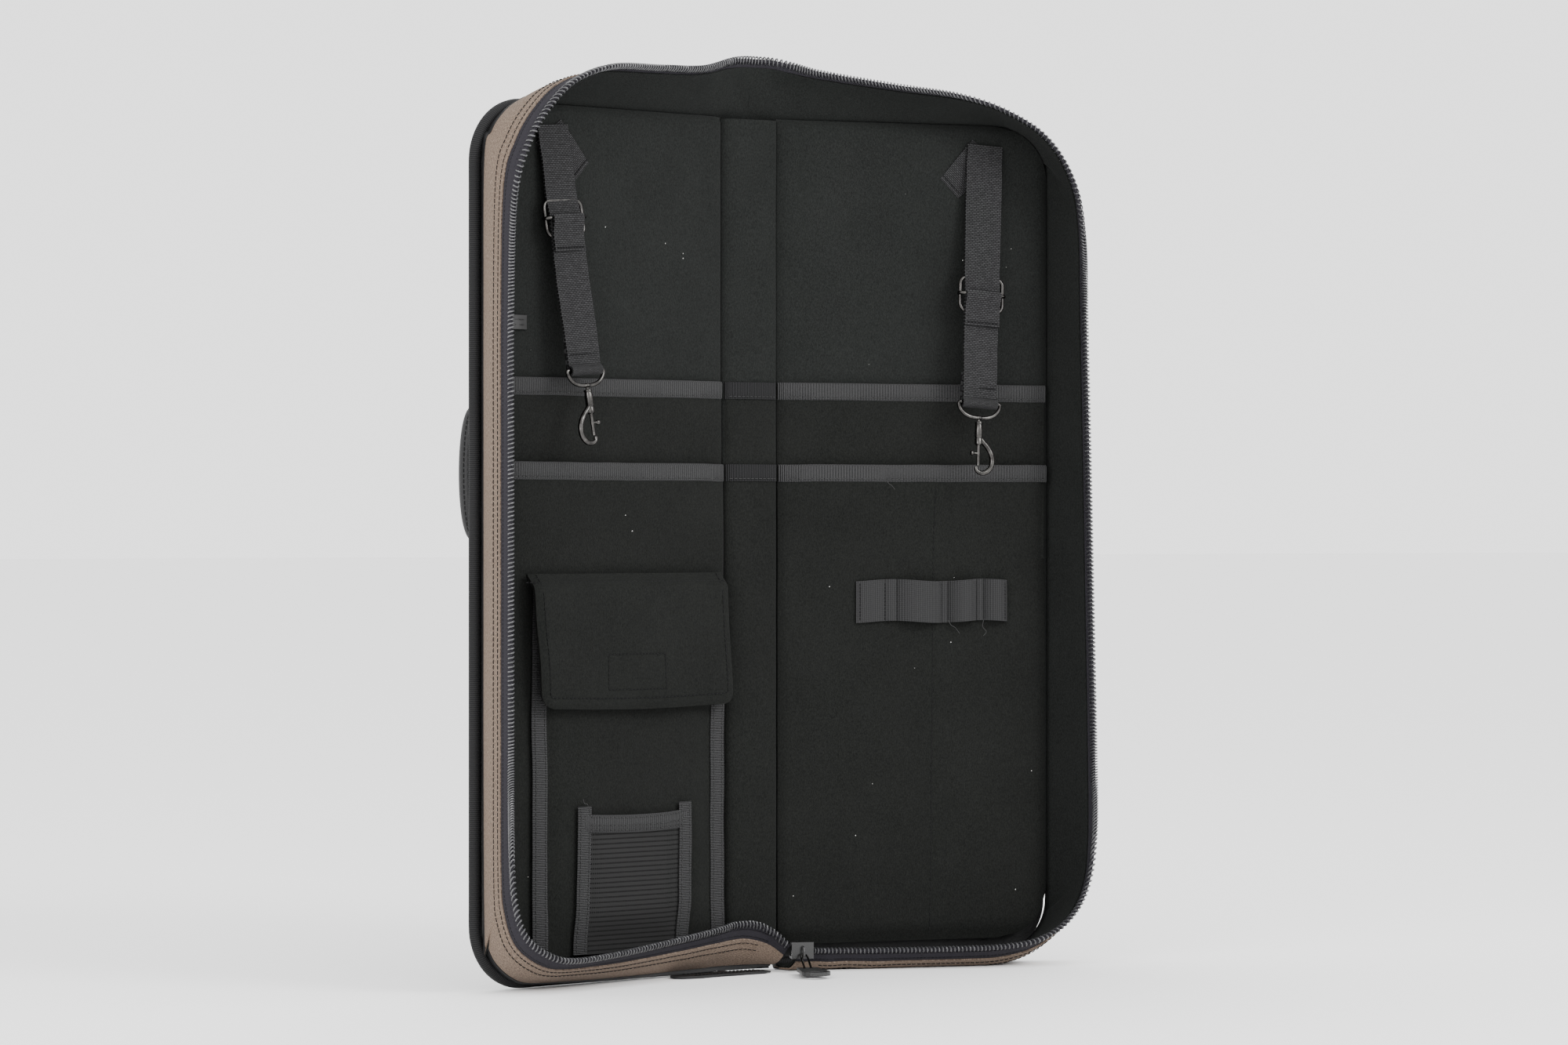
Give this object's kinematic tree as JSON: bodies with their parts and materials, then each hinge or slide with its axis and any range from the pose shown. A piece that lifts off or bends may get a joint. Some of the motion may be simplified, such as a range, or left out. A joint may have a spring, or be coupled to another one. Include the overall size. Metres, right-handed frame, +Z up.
{
  "type": "drum stick bag",
  "caption": "Folding padded bag for drum sticks, standing open like a book: a zip runs round both halves, with stick pockets, hanging hook straps, a mesh pocket and elastic loops.",
  "frame": {"origin": "on the ground under the middle of the spine, in the plane of the spine's inner face", "axes": "+Z up along the spine; the open side faces -Y; the left half, as seen from the open side, lies towards -X and the right half towards +X"},
  "size_m": [0.3917, 0.0824, 0.533],
  "materials": {
    "black_leathercloth": "satin grain",
    "ribbed_piping": "ribbed",
    "brushed_lining": "brushed",
    "beige_melange": "melange weave",
    "zip_tape": "woven",
    "zip_coil_nylon": "glossy",
    "ribbed_binding": "ribbed",
    "strap_webbing": "woven",
    "pocket_mesh": "knitted mesh",
    "black_nickel": "black nickel",
    "hook_and_loop": "hook and loop",
    "moulded_rubber": "matt"
  },
  "bodies": {
    "spine": {"spine_bottom_gusset": "black_leathercloth", "spine_outer_strip": "black_leathercloth", "spine_pad": "brushed_lining", "spine_pocket_strip": "brushed_lining", "spine_top_gusset": "black_leathercloth", "spine_zip_bottom": "zip_coil_nylon", "spine_zip_top": "zip_coil_nylon"},
    "left_half": {"accessory_binding_inner": "ribbed_binding", "accessory_binding_outer": "ribbed_binding", "accessory_pocket": "brushed_lining", "foot_tab": "black_leathercloth", "handle_anchor_lower": "black_leathercloth", "handle_anchor_upper": "black_leathercloth", "label_tab": "strap_webbing", "left_front_pocket": "brushed_lining", "left_gusset": "beige_melange", "left_lining_pad": "brushed_lining", "left_lower_binding": "ribbed_binding", "left_outer_panel": "black_leathercloth", "left_piping": "ribbed_piping", "left_rear_pocket": "brushed_lining", "left_strap_anchor": "strap_webbing", "left_upper_binding": "ribbed_binding", "left_zip_coil": "zip_coil_nylon", "left_zip_tape": "zip_tape", "loop_patch": "hook_and_loop", "mesh_binding_inner": "ribbed_binding", "mesh_binding_outer": "ribbed_binding", "mesh_binding_top": "ribbed_binding", "mesh_pocket": "pocket_mesh"},
    "right_half": {"elastic_loops": "strap_webbing", "right_front_pocket": "brushed_lining", "right_gusset": "beige_melange", "right_lining_pad": "brushed_lining", "right_lower_binding": "ribbed_binding", "right_outer_panel": "black_leathercloth", "right_piping": "ribbed_piping", "right_rear_pocket": "brushed_lining", "right_strap_anchor": "strap_webbing", "right_upper_binding": "ribbed_binding", "right_zip_coil": "zip_coil_nylon", "right_zip_tape": "zip_tape"},
    "handle": {"handle_grip": "black_leathercloth"},
    "flap": {"hook_patch": "hook_and_loop", "pocket_flap": "brushed_lining"},
    "left_glide": {"left_glide_bar": "black_nickel", "left_glide_frame": "black_nickel"},
    "left_hook": {"left_hook_body": "black_nickel"},
    "left_bolt": {"left_hook_bolt": "black_nickel"},
    "left_strap": {"left_strap_webbing": "strap_webbing"},
    "left_eye": {"left_swivel_eye": "black_nickel"},
    "link": {"pull_link": "black_nickel"},
    "tab": {"pull_tab": "moulded_rubber"},
    "right_glide": {"right_glide_bar": "black_nickel", "right_glide_frame": "black_nickel"},
    "right_hook": {"right_hook_body": "black_nickel"},
    "right_bolt": {"right_hook_bolt": "black_nickel"},
    "right_strap": {"right_strap_webbing": "strap_webbing"},
    "right_eye": {"right_swivel_eye": "black_nickel"},
    "slider": {"slider_body": "black_nickel"}
  },
  "joints": [
    {"name": "left_fold", "type": "hinge", "parent": "spine", "child": "left_half", "pos_m": [-0.0185, 0, 0], "axis": [0, 0, 1], "range_deg": [-15, 65], "deforming": ["spine_top_gusset", "spine_bottom_gusset"]},
    {"name": "right_fold", "type": "hinge", "parent": "spine", "child": "right_half", "pos_m": [0.0185, 0, 0], "axis": [0, 0, -1], "range_deg": [-15, 65], "deforming": ["spine_zip_top", "spine_zip_bottom"]},
    {"name": "flap_hinge", "type": "hinge", "parent": "left_half", "child": "flap", "pos_m": [-0.09914, -0.02535, 0.235], "axis": [0.9816, 0.1908, 0], "range_deg": [-115, 0]},
    {"name": "handle_swing", "type": "hinge", "parent": "left_half", "child": "handle", "pos_m": [-0.18343, -0.01627, 0.288], "axis": [0, 0, 1], "range_deg": [-25, 25]},
    {"name": "left_strap_swing", "type": "hinge", "parent": "left_half", "child": "left_strap", "pos_m": [-0.1455, -0.02795, 0.485], "axis": [0.979, 0.1903, 0.0732], "range_deg": [-95, 0]},
    {"name": "left_glide_slide", "type": "slide", "parent": "left_strap", "child": "left_glide", "axis": [-0.0946, 0.1058, 0.9899], "range_m": [-0.012, 0.012]},
    {"name": "left_eye_swing", "type": "hinge", "parent": "left_strap", "child": "left_eye", "pos_m": [-0.1323, -0.0427, 0.34691], "axis": [0.979, 0.1903, 0.0732], "range_deg": [-60, 0]},
    {"name": "left_hook_swivel", "type": "hinge", "parent": "left_eye", "child": "left_hook", "pos_m": [-0.13128, -0.04384, 0.33622], "axis": [-0.0946, 0.1058, 0.9899], "continuous": true},
    {"name": "left_bolt_slide", "type": "slide", "parent": "left_hook", "child": "left_bolt", "axis": [-0.0946, 0.1058, 0.9899], "range_m": [0, 0.0038], "stiffness_N_per_m": 200},
    {"name": "right_strap_swing", "type": "hinge", "parent": "right_half", "child": "right_strap", "pos_m": [0.1455, -0.02795, 0.485], "axis": [0.979, -0.1903, -0.0732], "range_deg": [-95, 0]},
    {"name": "right_glide_slide", "type": "slide", "parent": "right_strap", "child": "right_glide", "axis": [0.0946, 0.1058, 0.9899], "range_m": [-0.012, 0.012]},
    {"name": "right_eye_swing", "type": "hinge", "parent": "right_strap", "child": "right_eye", "pos_m": [0.13084, -0.04434, 0.33157], "axis": [0.979, -0.1903, -0.0732], "range_deg": [-60, 0]},
    {"name": "right_hook_swivel", "type": "hinge", "parent": "right_eye", "child": "right_hook", "pos_m": [0.12982, -0.04548, 0.32088], "axis": [0.0946, 0.1058, 0.9899], "continuous": true},
    {"name": "right_bolt_slide", "type": "slide", "parent": "right_hook", "child": "right_bolt", "axis": [0.0946, 0.1058, 0.9899], "range_m": [0, 0.0038], "stiffness_N_per_m": 200},
    {"name": "zip_slide", "type": "slide", "parent": "right_half", "child": "slider", "axis": [0.9457, -0.3251, 0], "range_m": [0, 0.1]},
    {"name": "link_swing", "type": "hinge", "parent": "slider", "child": "link", "pos_m": [0.02279, -0.02301, 0.01059], "axis": [0.9457, -0.3251, 0], "range_deg": [-60, 0]},
    {"name": "tab_swing", "type": "hinge", "parent": "link", "child": "tab", "pos_m": [0.01827, -0.03616, 0.00288], "axis": [0.9457, -0.3251, 0], "range_deg": [-45, 0]}
  ]
}
